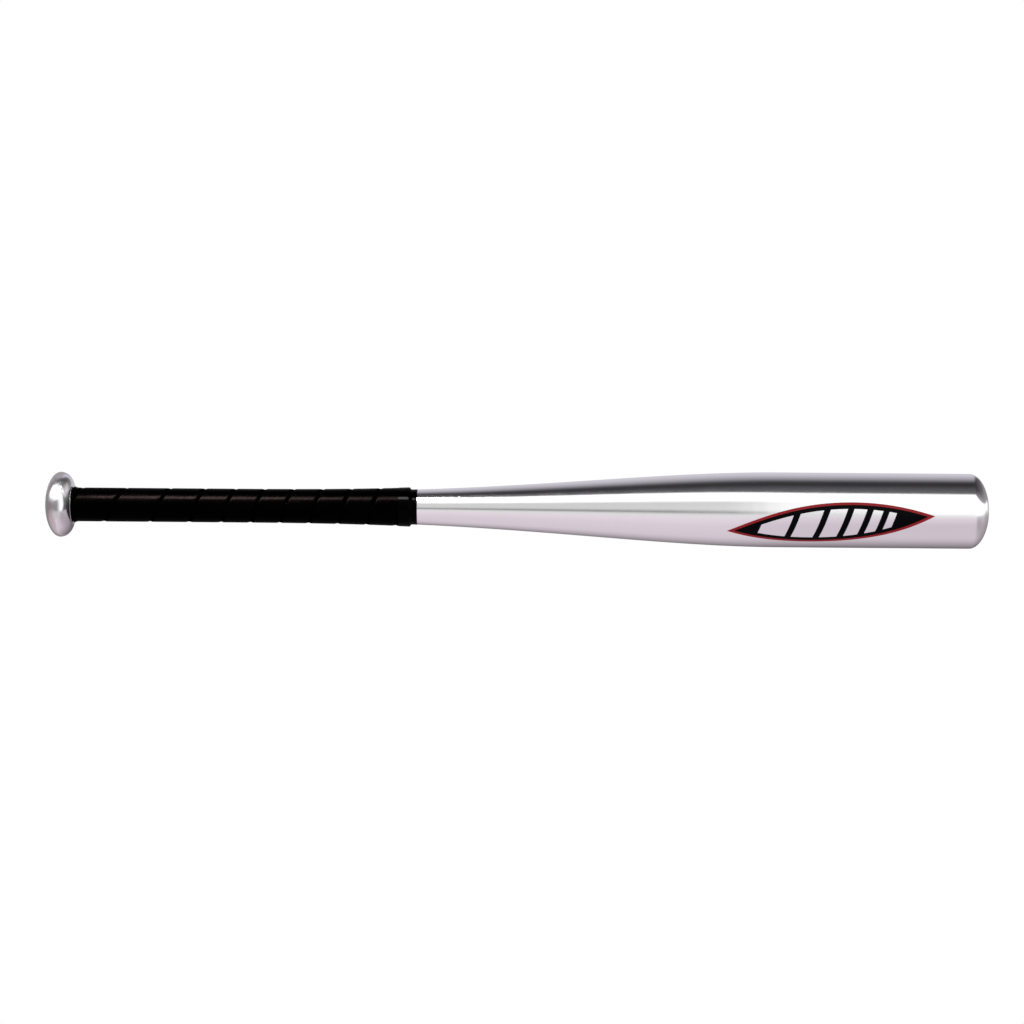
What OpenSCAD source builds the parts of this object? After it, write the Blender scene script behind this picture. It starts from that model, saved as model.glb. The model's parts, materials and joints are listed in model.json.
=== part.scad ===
// Youth aluminium baseball bat: one hollow tube with a spun-closed barrel end, a welded-on knob,
// a spiral-wrapped leather grip and a vinyl decal.
// Millimetres. X runs along the bat from the knob's end face (X = 0) to the barrel's tip, and +Z is up.
// The decal faces -Y. Every round piece is turned about the X axis.

/* [Bat] */
// Overall length, from the knob's end face to the barrel's tip
bat_length = 711.2; // [700:0.1:760]
// Outside diameter of the barrel
barrel_d = 56.6; // [54:0.1:58]
// Outside diameter of the bare handle
handle_d = 22.2; // [21:0.1:23]
// Distance from the knob end to where the handle starts to swell
taper_start = 134.3; // [120:0.1:145]
// Length of the swell between the handle and the full barrel
taper_length = 417.7; // [410:0.1:430]
// Wall thickness of the tube in the handle
handle_wall = 2.6; // [2.2:0.1:2.8]
// Wall thickness of the tube in the barrel
barrel_wall = 2; // [1.8:0.1:2.4]

/* [Barrel end] */
// Length of the dome that closes the barrel
dome_length = 14.3; // [13:0.1:18]
// Wall thickness of the dome on the axis
dome_wall = 3; // [2.8:0.1:3.6]
// Diameter of the hole that the spinning leaves on the axis
plug_hole_d = 12; // [10:0.5:13]
// Diameter of the plug's head, which lies flush in a counterbore
plug_head_d = 17; // [16:0.5:19]

/* [Knob] */
// Largest diameter of the knob
knob_d = 49; // [46:0.1:52]
// Distance from the end face to the knob's widest place
knob_dome = 10.7; // [10:0.1:14]
// Distance from the widest place to the flat back face
knob_back = 9.2; // [8:0.1:12]
// Diameter of the flat facing in the middle of the knob's end
knob_face_d = 12; // [10:0.5:14]
// Length of the spigot that plugs into the handle
spigot_length = 18; // [15:0.5:22]
// Diameter of the bore that holds the balance slug
slug_bore_d = 12; // [10:0.5:12.5]

/* [Grip] */
// Distance from the knob end to the end of the leather wrap
wrap_end = 274.6; // [270:0.1:285]
// Thickness of the wrap
wrap_thickness = 1.4; // [1.1:0.05:1.6]
// Thickness of the adhesive underlay
underlay_thickness = 0.3; // [0.2:0.05:0.4]
// Pitch of the wrap's turns away from the knob
wrap_pitch = 21.85; // [21:0.05:23]
// Extra reach of the first turns beside the knob
wrap_extra = 17; // [14:0.5:18]
// Width of the tape that finishes the wrap
tape_width = 14; // [13:0.5:19]
// Thickness of the finishing tape
tape_thickness = 0.13; // [0.1:0.01:0.2]

/* [Decal] */
// Distance from the knob end to the decal's middle
decal_x = 589.5; // [585:0.5:600]
// Length of the decal along the bat, from point to point
decal_length = 155; // [130:1:160]
// Width of the decal round the barrel
decal_width = 32; // [24:1:34]
// Angle of the decal's middle below the -Y direction
decal_drop = 21.6; // [0:0.1:30]
// Slope of the decal's long axis on the barrel
decal_slope = 5; // [0:0.5:6]
// Width of the red border
border_width = 2; // [1.5:0.1:3]
// Number of silver bars
bar_count = 6; // [3:1:7]
// Width of the first and widest bar
bar_width = 22; // [16:1:24]
// Thickness of the vinyl
vinyl = 0.15; // [0.1:0.01:0.2]

/* [Hidden] */
$fn = 96;

handle_r = handle_d / 2;
barrel_r = barrel_d / 2;
knob_r = knob_d / 2;
fit = 0.05;                              // radial clearance of pieces that slide into each other

knob_back_x = knob_dome + knob_back;     // the tube butts against the knob here
taper_end = taper_start + taper_length;
dome_x = bat_length - dome_length;       // the barrel's cylinder ends and the dome starts
taper_steps = 40;
dome_steps = 14;

spun_r = barrel_r - barrel_wall;         // inside radius of the barrel
spun_length = dome_length - dome_wall;   // inside length of the dome

plug_head_r = plug_head_d / 2;
plug_hole_r = plug_hole_d / 2;
counterbore = 1.3;                       // depth of the plug head's seat
plug_crown = 0.1;                        // the head's edge lies this much below its middle
plug_edge = 0.8;                         // and it rounds down to this depth at the rim
barb_reach = 1.4;                        // the plug's barb stands out behind the hole by this much
barb_slope = 0.6;
barb_length = 4;

knob_root_r = 13;                        // radius where the rounded back meets the flat back face
knob_floor = 8;                          // metal between the slug's bore and the knob's end face
weld_leg = 1.5;                          // chamfer on the tube's end that the weld fills
slug_length = 24;
slug_chamfer = 0.8;

foam_length = 85;                        // the foam is poured behind the dome
foam_end = dome_x - 2;
foam_start = foam_end - foam_length;
dam_thickness = 8;

wrap_start = knob_back_x + 0.15;
wrap_anchor = 61;                        // place of the seam on top of the handle at turn 0
wrap_closing = 1.6;                      // how quickly the first long turns close up to the pitch
wrap_first_turn = -2.3;
wrap_last_turn = 9;
wrap_steps = 24;                         // sections in one turn of the wrap
seam_gap = 0.3;
seam_bevel = 0.9;                        // the strip's edges are pared down over this width
seam_depth = 0.55;                       // and by this much
flare = 2.1;                             // the doubled start of the wrap beside the knob
flare_length = 4;
least_width = 0.4;                       // the strip's ends are cut to a long point this wide
underlay_end = wrap_end - 1;
tape_lap = 8.4;                          // length of tape that lies on the wrap

decal_inset = 3;                         // black margin between the red border and the bars
bar_ratio = 0.77;                        // each bar is this much as wide as the one before it
bar_gap = 5;
bar_slant = 0.45;                        // sideways lean of a bar for each millimetre of its height
bars_lead = 24;                          // distance from the decal's point to the first bar

// Share of the way from handle to barrel at x: a long gentle toe and a shorter shoulder.
function swell(x) = let (t = min(1, max(0, (x - taper_start) / taper_length))) pow(t, 3) * (4 - 3 * t);
function outer_r(x) = handle_r + (barrel_r - handle_r) * swell(x);
function inner_r(x) = outer_r(x) - handle_wall - (barrel_wall - handle_wall) * swell(x);

// Numbers from a to b in n equal steps, both ends included.
function spread(a, b, n) = [for (i = [0 : n]) a + (b - a) * i / n];
function backwards(list) = [for (i = [len(list) - 1 : -1 : 0]) list[i]];

// Turns an outline of [radius, x] points about the X axis.
module turned(outline) {
    rotate([0, 90, 0]) rotate_extrude() polygon(outline);
}

// --- Tube -------------------------------------------------------------------------------------

// Outline of the dome as [radius, x] from the barrel towards the axis, down to radius stop_r.
function dome(r, length, stop_r) = [
    for (a = spread(0, acos(stop_r / r), dome_steps)) [r * cos(a), dome_x + length * sin(a)]
];

module bat_shell() {
    swell_x = spread(taper_start, taper_end, taper_steps);
    outside = concat(
        [[handle_r - weld_leg, knob_back_x], [handle_r, knob_back_x + weld_leg]],
        [for (x = swell_x) [outer_r(x), x]],
        dome(barrel_r, dome_length, plug_head_r)
    );
    seat = [
        [plug_head_r, bat_length - counterbore],
        [plug_hole_r, bat_length - counterbore]
    ];
    inside = concat(
        backwards(dome(spun_r, spun_length, plug_hole_r)),
        [for (x = backwards(swell_x)) [inner_r(x), x]],
        [[inner_r(knob_back_x), knob_back_x]]
    );
    color("silver") turned(concat(outside, seat, inside));
}

// Snap-in rubber plug: a flush head, a neck through the hole and a barb behind it.
module end_plug() {
    barb_r = plug_hole_r + barb_reach;
    barb_x = dome_x + spun_length * sqrt(1 - pow(barb_r / spun_r, 2)) - fit;
    head_r = plug_head_r - fit;
    neck_r = plug_hole_r - fit;
    color("dimgray") turned([
        [0, bat_length],
        [head_r - 2, bat_length - plug_crown],
        [head_r, bat_length - plug_edge],
        [head_r, bat_length - counterbore],
        [neck_r, bat_length - counterbore],
        [neck_r, barb_x],
        [barb_r, barb_x - barb_slope],
        [neck_r, barb_x - barb_length],
        [0, barb_x - barb_length]
    ]);
}

// A plug of soft filler that touches the inside of the tube from one station to another.
module tube_filler(from, to) {
    turned(concat([[0, from]], [for (x = spread(from, to, 6)) [inner_r(x) - 2 * fit, x]], [[0, to]]));
}

// Fibre disc that the foam is poured against.
module foam_dam() {
    color("tan") tube_filler(foam_start - dam_thickness, foam_start - fit);
}

module barrel_foam() {
    color("khaki") tube_filler(foam_start + fit, foam_end);
}

// --- Knob -------------------------------------------------------------------------------------

// Rounded mushroom: half an ellipse on the end side, a tighter quarter ellipse on the grip side.
module knob() {
    face_angle = acos(knob_face_d / knob_d);
    reach = knob_dome / sin(face_angle);
    end_side = [
        for (a = spread(face_angle, 0, dome_steps)) [knob_r * cos(a), knob_dome - reach * sin(a)]
    ];
    grip_side = [
        for (a = spread(0, 90, 10))
            [knob_root_r + (knob_r - knob_root_r) * cos(a), knob_dome + knob_back * sin(a)]
    ];
    spigot_r = inner_r(knob_back_x) - fit;
    spigot_end = knob_back_x + spigot_length;
    spigot = [
        [spigot_r, knob_back_x],
        [spigot_r, spigot_end - 1],
        [spigot_r - 1, spigot_end],
        [slug_bore_d / 2, spigot_end],
        [slug_bore_d / 2, knob_floor],
        [0, knob_floor]
    ];
    color("lightgray") turned(concat([[0, 0]], end_side, grip_side, spigot));
}

// Weld that fills the chamfer on the tube's end, ground flush with the handle.
module knob_weld() {
    color("darkgray") turned([
        [handle_r - weld_leg, knob_back_x],
        [handle_r, knob_back_x],
        [handle_r, knob_back_x + weld_leg]
    ]);
}

// Steel slug that trims the balance, pressed into the knob's bore.
module balance_slug() {
    r = slug_bore_d / 2 - fit;
    from = knob_floor + fit;
    to = knob_floor + slug_length;
    color("slategray") turned([
        [0, from], [r - slug_chamfer, from], [r, from + slug_chamfer],
        [r, to - slug_chamfer], [r - slug_chamfer, to], [0, to]
    ]);
}

// --- Grip -------------------------------------------------------------------------------------

// Double-sided adhesive film under the wrap.
module grip_underlay() {
    stations = spread(wrap_start, underlay_end, 24);
    color("#1a1a1a") turned(concat(
        [for (x = stations) [outer_r(x) + fit / 2, x]],
        [for (x = backwards(stations)) [outer_r(x) + underlay_thickness, x]]
    ));
}

// Place of the seam on top of the handle after a number of turns. The turns close up away from the knob.
function seam_x(turn) = wrap_anchor + wrap_pitch * turn
    + wrap_extra * (1 - 2 / (exp(wrap_closing * turn) + 1));
function within_wrap(x) = min(wrap_end, max(wrap_start, x));

// Radii of the wrap's corners: its flat sides clear the underlay, and the top flares at the knob.
function wrap_bottom_r(x) = (outer_r(x) + underlay_thickness + fit) / cos(180 / wrap_steps);
function wrap_top_r(x) = outer_r(x) + underlay_thickness + wrap_thickness
    + flare * pow(max(0, 1 - (x - wrap_start) / flare_length), 2);

// One section across the strip as [radius, x] points: two underneath and five on top.
function strip_section(turn) = let (
    left = min(within_wrap(seam_x(turn)), wrap_end - least_width),
    right = max(within_wrap(seam_x(turn + 1) - seam_gap), left + least_width),
    bevel = min(seam_bevel, (right - left) / 4),
    edge = seam_depth * bevel / seam_bevel,
    shoulder = left + min(flare_length, (right - left) / 2)
) [
    [wrap_bottom_r(left), left],
    [wrap_bottom_r(right), right],
    [wrap_top_r(right) - edge, right],
    [wrap_top_r(right - bevel), right - bevel],
    [wrap_top_r(shoulder), shoulder],
    [wrap_top_r(left + bevel), left + bevel],
    [wrap_top_r(left) - edge, left]
];

// The wrap is one strip wound in a left-hand helix, with its seam on top of the handle at whole turns.
module grip_wrap() {
    corners = 7;
    sections = round((wrap_last_turn - wrap_first_turn) * wrap_steps);
    points = [
        for (turn = spread(wrap_first_turn, wrap_last_turn, sections))
            for (p = strip_section(turn)) [p[1], p[0] * sin(360 * turn), p[0] * cos(360 * turn)]
    ];
    sides = [
        for (i = [0 : sections - 1])
            for (k = [0 : corners - 1])
                let (
                    a = i * corners + k,
                    b = i * corners + (k + 1) % corners,
                    c = b + corners,
                    d = a + corners
                )
                each [[a, d, b], [b, d, c]]
    ];
    caps = [
        [for (k = [0 : corners - 1]) k],
        [for (k = [corners - 1 : -1 : 0]) sections * corners + k]
    ];
    color("black") polyhedron(points, concat(sides, caps), convexity = 10);
}

// Vinyl tape, most of it on the end of the wrap and the rest on the bare tube.
module finishing_tape() {
    step = wrap_end + 0.4;
    lap_start = wrap_end - tape_lap;
    tape_end = lap_start + tape_width;
    wrap_r = wrap_top_r(wrap_end) + fit;
    under = [
        [wrap_top_r(lap_start) + fit, lap_start],
        [wrap_r, step],
        [outer_r(step) + fit / 2, step],
        [outer_r(tape_end) + fit / 2, tape_end]
    ];
    over = [
        [outer_r(tape_end) + tape_thickness, tape_end],
        [outer_r(step) + tape_thickness, step + tape_thickness],
        [wrap_r + tape_thickness, step + tape_thickness],
        [wrap_top_r(lap_start) + fit + tape_thickness, lap_start]
    ];
    color("#15151a") turned(concat(under, over));
}

// --- Decal ------------------------------------------------------------------------------------

// Pointed panel with two long arcs for sides, as [along, round] points, shrunk by inset all round.
function panel(inset) = let (
    tip = decal_length / 2,
    half_w = decal_width / 2,
    side_r = (tip * tip + half_w * half_w) / (2 * half_w),
    arc_r = side_r - inset,
    half_angle = acos((side_r - half_w) / arc_r),
    steps = 24,
    centre = [0, half_w - side_r],
    upper = [for (a = spread(-half_angle, half_angle, steps)) centre + arc_r * [sin(a), cos(a)]]
) concat(upper, [for (i = [1 : steps - 1]) -upper[i]]);

// Slanted stripe across the decal, as [along, round] points. The bars get narrower from left to right.
function stripe(i) = let (
    start = bars_lead - decal_length / 2 + i * bar_gap
        + bar_width * (1 - pow(bar_ratio, i)) / (1 - bar_ratio),
    end = start + bar_width * pow(bar_ratio, i),
    half_w = decal_width / 2,
    lean = half_w * bar_slant
) [[start - lean, -half_w], [end - lean, -half_w], [end + lean, half_w], [start + lean, half_w]];

// Wraps a flat shape of [along, round] points onto the barrel: its width becomes an arc's height.
function wrapped(points) = let (n = len(points), steps = n > 4 ? 1 : 8) [
    for (i = [0 : n - 1])
        for (s = [0 : steps - 1])
            let (
                flat = points[i] + (points[(i + 1) % n] - points[i]) * s / steps,
                along = flat[0] * cos(decal_slope) - flat[1] * sin(decal_slope),
                round_by = flat[0] * sin(decal_slope) + flat[1] * cos(decal_slope)
            )
            [decal_x + along, barrel_r * sin(round_by / barrel_r * 180 / PI)]
];

// Prism from the bat's axis out through the place of a flat shape on the barrel.
module beam(points) {
    rotate([90 + decal_drop, 0, 0]) linear_extrude(barrel_d) polygon(wrapped(points));
}

// Skin of vinyl on the barrel, long enough for the decal.
module vinyl_skin() {
    reach = decal_length / 2 + 6;
    stations = concat(
        [for (x = spread(taper_start, taper_end, taper_steps)) if (x > decal_x - reach) x],
        [decal_x + reach]
    );
    turned(concat(
        [for (x = stations) [outer_r(x), x]],
        [for (x = backwards(stations)) [outer_r(x) + vinyl, x]]
    ));
}

module decal_border() {
    color("firebrick") intersection() {
        vinyl_skin();
        difference() {
            beam(panel(0));
            beam(panel(border_width));
        }
    }
}

// The silver bars: stripes cut to the shape of a smaller panel.
module bars() {
    intersection() {
        beam(panel(border_width + decal_inset));
        for (i = [0 : bar_count - 1]) beam(stripe(i));
    }
}

module decal_field() {
    color("#101014") intersection() {
        vinyl_skin();
        difference() {
            beam(panel(border_width));
            bars();
        }
    }
}

module decal_bars() {
    color("gainsboro") intersection() {
        vinyl_skin();
        bars();
    }
}

bat_shell();
end_plug();
foam_dam();
barrel_foam();
knob();
knob_weld();
balance_slug();
grip_underlay();
grip_wrap();
finishing_tape();
decal_border();
decal_field();
decal_bars();
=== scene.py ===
"""Looks for a youth aluminium baseball bat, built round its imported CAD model.

Lengths are in metres. The bat lies along +X with the knob's end face at X = 0, and the decal faces -Y.
"""
import json
import math

import bmesh
import bpy
import numpy as np
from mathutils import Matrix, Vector


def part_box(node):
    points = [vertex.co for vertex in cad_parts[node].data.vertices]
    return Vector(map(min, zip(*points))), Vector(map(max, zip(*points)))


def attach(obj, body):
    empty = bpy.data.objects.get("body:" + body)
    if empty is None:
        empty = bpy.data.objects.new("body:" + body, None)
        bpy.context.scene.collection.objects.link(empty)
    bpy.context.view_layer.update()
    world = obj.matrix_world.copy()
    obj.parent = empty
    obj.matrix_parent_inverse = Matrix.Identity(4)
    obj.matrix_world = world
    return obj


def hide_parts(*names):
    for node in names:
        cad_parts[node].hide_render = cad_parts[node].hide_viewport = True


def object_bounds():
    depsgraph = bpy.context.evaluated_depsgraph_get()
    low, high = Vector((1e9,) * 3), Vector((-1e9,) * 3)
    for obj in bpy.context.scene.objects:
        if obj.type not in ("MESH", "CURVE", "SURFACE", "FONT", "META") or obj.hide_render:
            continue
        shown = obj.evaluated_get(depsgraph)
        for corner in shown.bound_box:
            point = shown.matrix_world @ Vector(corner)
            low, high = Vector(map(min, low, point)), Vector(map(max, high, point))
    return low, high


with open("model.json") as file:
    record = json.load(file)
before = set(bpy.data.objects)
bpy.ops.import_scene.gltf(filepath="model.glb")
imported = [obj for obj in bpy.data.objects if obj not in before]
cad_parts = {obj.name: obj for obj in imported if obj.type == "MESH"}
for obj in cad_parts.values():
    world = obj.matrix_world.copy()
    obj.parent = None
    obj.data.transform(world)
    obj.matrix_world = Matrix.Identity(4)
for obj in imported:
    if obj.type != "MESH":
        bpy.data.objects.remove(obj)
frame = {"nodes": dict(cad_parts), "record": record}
cad_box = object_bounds()

MM = 0.001
TAU = math.tau


# --- Reading the frame ----------------------------------------------------------------------------

def cad_points(node):
    return np.array([v.co for v in frame["nodes"][node].data.vertices])


def radii(points):
    return np.hypot(points[:, 1], points[:, 2])


def mount(name):
    return next(m for m in frame["record"]["mounts"] if m["name"] == name)


def rings(node, choose):
    """Stations of a turned CAD node, and the radius that choose picks at each."""
    points = cad_points(node)
    stations = np.round(points[:, 0], 6)
    xs = np.unique(stations)
    return xs, np.array([choose(radii(points[stations == x])) for x in xs])


def curve_through(xs, ys):
    """A smooth function through the points that never overshoots them."""
    steps = np.diff(xs)
    secants = np.diff(ys) / steps
    slopes = np.zeros(len(xs))
    before, after = secants[:-1], secants[1:]
    same = before * after > 0
    slopes[1:-1][same] = 2 * before[same] * after[same] / (before + after)[same]

    def at(x):
        x = np.clip(x, xs[0], xs[-1])
        i = np.clip(np.searchsorted(xs, x) - 1, 0, len(steps) - 1)
        t = (x - xs[i]) / steps[i]
        bend = (slopes[i] * (1 - t) - slopes[i + 1] * t) * steps[i] * t * (1 - t)
        return ys[i] + (ys[i + 1] - ys[i]) * t * t * (3 - 2 * t) + bend

    return at


barrel = mount("barrel")
BARREL_R = barrel["dims"]["r_mm"] * MM
BARREL_END = barrel["pos_m"][0] + barrel["dims"]["length_mm"] * MM / 2
TIP_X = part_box("end_plug")[1].x
PLUG_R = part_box("end_plug")[1].z
TUBE_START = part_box("bat_shell")[0].x
PLUG_FLANGE = 1.3 * MM
CLEARANCE = 0.05 * MM
TOLERANCE = 0.01 * MM


def tube_profile(choose, widening):
    """Radius of the tube at x. Stations that only the other side of the wall has are left out."""
    xs, rs = rings("bat_shell", choose)
    end_margin = 0.1 * MM
    tube = xs <= BARREL_END + end_margin
    xs, rs = xs[tube], rs[tube]
    kept = widening(rs)
    return curve_through(xs[kept], rs[kept])


outer_r = tube_profile(np.max, lambda rs: rs >= np.maximum.accumulate(rs) - TOLERANCE)
inner_r = tube_profile(np.min, lambda rs: rs <= np.minimum.accumulate(rs[::-1])[::-1] + TOLERANCE)


# --- Mesh building --------------------------------------------------------------------------------

def finish_mesh(name, body, material, sharp_deg=35):
    """Turns a bmesh into a smooth-shaded piece that keeps its hard edges sharp."""
    bmesh.ops.recalc_face_normals(body, faces=body.faces)
    limit = math.radians(sharp_deg)
    for face in body.faces:
        face.smooth = True
    for edge in body.edges:
        edge.smooth = not (edge.is_manifold and edge.calc_face_angle(0) > limit)
    mesh = bpy.data.meshes.new(name)
    body.to_mesh(mesh)
    body.free()
    piece = bpy.data.objects.new(name, mesh)
    bpy.context.scene.collection.objects.link(piece)
    mesh.materials.append(material)
    return piece


def stands_for(piece, node):
    """The piece rides on the bat and hides its CAD node."""
    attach(piece, "root")
    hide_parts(node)
    return piece


AXIS_R = 1e-7


def rounded(outline, radius, steps=5, least_deg=20):
    """The closed outline with its corners sharper than least_deg rounded off. Corners on the axis stay."""
    result = []
    count = len(outline)
    for i, corner in enumerate(outline):
        a = np.subtract(outline[i - 1], corner)
        b = np.subtract(outline[(i + 1) % count], corner)
        room = 0.45 * min(np.hypot(*a), np.hypot(*b))
        turn = math.pi - math.acos(np.clip(a @ b / (np.hypot(*a) * np.hypot(*b)), -1, 1))
        on_axis = corner[1] < AXIS_R
        if on_axis or turn < math.radians(least_deg):
            result.append(tuple(corner))
            continue
        reach = min(radius * math.tan(turn / 2), room)
        start = np.add(corner, a / np.hypot(*a) * reach)
        end = np.add(corner, b / np.hypot(*b) * reach)
        for t in np.linspace(0, 1, steps):
            result.append(tuple((1 - t) ** 2 * start + 2 * t * (1 - t) * np.array(corner) + t * t * end))
    return result


def turned(name, outline, material, segments):
    """Solid of revolution about X from a closed outline of (x, radius)."""
    body = bmesh.new()
    loops = []
    angles = np.linspace(0, TAU, segments, endpoint=False)
    for x, r in outline:
        if r < AXIS_R:
            loops.append([body.verts.new((x, 0, 0))])
            continue
        loops.append([body.verts.new((x, r * math.cos(a), r * math.sin(a))) for a in angles])
    for first, second in zip(loops, loops[1:] + loops[:1]):
        if len(first) == 1 and len(second) == 1:
            continue
        for i in range(segments):
            corners = [
                first[i % len(first)], first[(i + 1) % len(first)],
                second[(i + 1) % len(second)], second[i % len(second)],
            ]
            body.faces.new(list(dict.fromkeys(corners)))
    return finish_mesh(name, body, material)


# --- Shader building ------------------------------------------------------------------------------

class Shader:
    """A node tree with a short way to add nodes. Inputs may be values or other nodes' outputs."""

    def __init__(self, tree):
        self.tree = tree
        tree.nodes.clear()

    def add(self, kind, settings=None, **inputs):
        node = self.tree.nodes.new(kind)
        for key, value in (settings or {}).items():
            setattr(node, key, value)
        for key, value in inputs.items():
            socket = node.inputs[int(key[1:])] if key[1:].isdigit() else node.inputs[key.replace("_", " ")]
            if isinstance(value, bpy.types.NodeSocket):
                self.tree.links.new(value, socket)
            else:
                socket.default_value = value
        return node

    def math(self, operation, a, b=0.0, c=0.0):
        return self.add("ShaderNodeMath", {"operation": operation}, i0=a, i1=b, i2=c).outputs[0]

    def ease(self, value, low, high):
        """Smooth step from 0 at low to 1 at high."""
        settings = {"interpolation_type": "SMOOTHSTEP"}
        node = self.add("ShaderNodeMapRange", settings, Value=value, From_Min=low, From_Max=high)
        return node.outputs["Result"]

    def blend(self, factor, a, b):
        """Number between a and b."""
        return self.math("MULTIPLY_ADD", self.math("SUBTRACT", b, a), factor, a)

    def all_of(self, *masks):
        """The product of some masks."""
        product = masks[0]
        for mask in masks[1:]:
            product = self.math("MULTIPLY", product, mask)
        return product

    def mix(self, factor, a, b):
        """Colour between a and b. Sockets 6 and 7 of the node are its two colours."""
        node = self.add("ShaderNodeMix", {"data_type": "RGBA"}, i0=factor)
        for socket, value in ((node.inputs[6], a), (node.inputs[7], b)):
            if isinstance(value, bpy.types.NodeSocket):
                self.tree.links.new(value, socket)
            else:
                socket.default_value = (*value, 1)
        return node.outputs[2]

    def ramp(self, value, stops):
        """Colour at a value from 0 to 1, from (place, colour) stops."""
        node = self.add("ShaderNodeValToRGB", i0=value)
        band = node.color_ramp
        while len(band.elements) < len(stops):
            band.elements.new(1)
        for element, (place, colour) in zip(band.elements, stops):
            element.position = place
            element.color = (*colour, 1)
        return node.outputs["Color"]

    def place(self, scale=(1, 1, 1), output="Object"):
        """Coordinates, multiplied by scale."""
        source = self.add("ShaderNodeTexCoord").outputs[output]
        return self.add("ShaderNodeMapping", i0=source, i3=scale).outputs[0]

    def noise(self, vector, scale, detail=3.0, roughness=0.5):
        return self.add(
            "ShaderNodeTexNoise", Vector=vector, Scale=scale, Detail=detail, Roughness=roughness
        ).outputs["Fac"]

    def bump(self, height, distance, normal=None):
        """Normal of a surface with this height over it, on top of another bump's normal if one is given."""
        node = self.add("ShaderNodeBump", Height=height, Distance=distance, Strength=1.0)
        if normal is not None:
            self.tree.links.new(normal, node.inputs["Normal"])
        return node.outputs["Normal"]


def material(name, build):
    made = bpy.data.materials.new(name)
    made.use_nodes = True
    shader = Shader(made.node_tree)
    surface = build(shader)
    shader.add("ShaderNodeOutputMaterial", Surface=surface.outputs[0])
    return made


def turned_metal(colour, roughness, lines):
    """Metal that was turned and polished in a lathe: fine rings round X, a faint grain and light scratches.

    lines is the depth of the rings in metres.
    """
    scratch, stretch = 0.05, 0.6

    def build(s):
        grain = s.noise(s.place((1, 0.03, 0.03)), 2600, 2)
        rings_height = s.noise(s.place((1, 0.004, 0.004)), 1400, 4, 0.6)
        cloud = s.noise(s.place(), 60, 4)
        spots = s.noise(s.place((1.4, 0.7, 0.7)), 900, 2)
        marks = s.noise(s.place((0.12, 1, 1)), 420, 3, 0.7)
        scratches = s.ease(marks, 0.68, 0.76)
        rough = s.math("MULTIPLY_ADD", cloud, 0.08, roughness - 0.04)
        rough = s.math("MULTIPLY_ADD", scratches, scratch, rough)
        shade = s.mix(s.math("MULTIPLY", grain, 0.25), colour, [c * 0.86 for c in colour])
        normal = s.bump(rings_height, lines)
        normal = s.bump(spots, lines * 4, normal)
        tangent = s.add("ShaderNodeTangent", {"direction_type": "RADIAL", "axis": "X"}).outputs[0]
        return s.add(
            "ShaderNodeBsdfPrincipled", Base_Color=shade, Metallic=1.0, Roughness=rough,
            Anisotropic=stretch, Anisotropic_Rotation=0.25, Tangent=tangent, Normal=normal,
        )
    return build


def vinyl(colour, roughness=0.22, ior=1.3):
    """Printed self-adhesive vinyl: even colour, a faint orange-peel and a few rub marks."""
    def build(s):
        peel = s.noise(s.place(), 700, 2)
        rub = s.ease(s.noise(s.place((0.2, 1, 1)), 300, 3, 0.7), 0.62, 0.75)
        shade = s.mix(s.math("MULTIPLY", rub, 0.12), colour, [min(1, c * 1.6 + 0.02) for c in colour])
        rough = s.math("MULTIPLY_ADD", rub, 0.12, roughness)
        normal = s.bump(peel, 0.01 * MM)
        return s.add(
            "ShaderNodeBsdfPrincipled", Base_Color=shade, Roughness=rough, IOR=ior, Normal=normal
        )
    return build


def grip_leather(s):
    """Black embossed synthetic leather, dull where its edges are pared.

    The strip's UVs are in metres, along it and across it.
    """
    strip = s.place((1, 1, 1), "UV")
    pebble = s.add(
        "ShaderNodeTexVoronoi", {"feature": "SMOOTH_F1"}, Vector=strip, Scale=520.0, Randomness=0.8
    ).outputs["Distance"]
    grain = s.noise(strip, 2600, 3)
    dull = s.ease(s.noise(s.place(), 45, 4), 0.35, 0.7)
    shade = s.mix(dull, (0.00004, 0.00004, 0.00004), (0.0002, 0.00015, 0.00015))
    pared = s.add("ShaderNodeAttribute", {"attribute_name": "pared"}).outputs["Fac"]
    edge = s.ease(pared, 0.1, 0.6)
    rough = s.math("MULTIPLY_ADD", dull, 0.06, 0.2)
    rough = s.math("MULTIPLY_ADD", edge, 0.4, rough)
    shine = s.math("MULTIPLY_ADD", edge, -0.45, 0.5)
    normal = s.bump(pebble, 0.06 * MM)
    normal = s.bump(grain, 0.006 * MM, normal)
    return s.add(
        "ShaderNodeBsdfPrincipled", Base_Color=shade, Roughness=rough, IOR=1.05,
        Specular_IOR_Level=shine, Specular_Tint=(1.0, 0.68, 0.65, 1), Normal=normal,
    )


def tape_pvc(s):
    """Black PVC tape: smoother than the leather, with the fine ribs of stretched film."""
    ribs = s.noise(s.place((0.05, 1, 1)), 1500, 3)
    smear = s.noise(s.place(), 120, 3)
    rough = s.math("MULTIPLY_ADD", smear, 0.12, 0.06)
    shade = s.mix(smear, (0.00005, 0.00005, 0.00005), (0.0002, 0.0002, 0.0002))
    return s.add(
        "ShaderNodeBsdfPrincipled", Base_Color=shade, Roughness=rough, IOR=1.075,
        Normal=s.bump(ribs, 0.01 * MM),
    )


def rubber(s):
    speck = s.noise(s.place(), 1800, 3)
    shade = s.mix(speck, (0.012, 0.012, 0.012), (0.035, 0.034, 0.033))
    return s.add(
        "ShaderNodeBsdfPrincipled", Base_Color=shade, Roughness=0.62, Normal=s.bump(speck, 0.06 * MM)
    )


def open_cell_foam(s):
    cells = s.add("ShaderNodeTexVoronoi", Vector=s.place(), Scale=900.0).outputs["Distance"]
    shade = s.mix(cells, (0.5, 0.41, 0.2), (0.8, 0.7, 0.45))
    return s.add(
        "ShaderNodeBsdfPrincipled", Base_Color=shade, Roughness=0.9, Normal=s.bump(cells, 0.5 * MM)
    )


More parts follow.
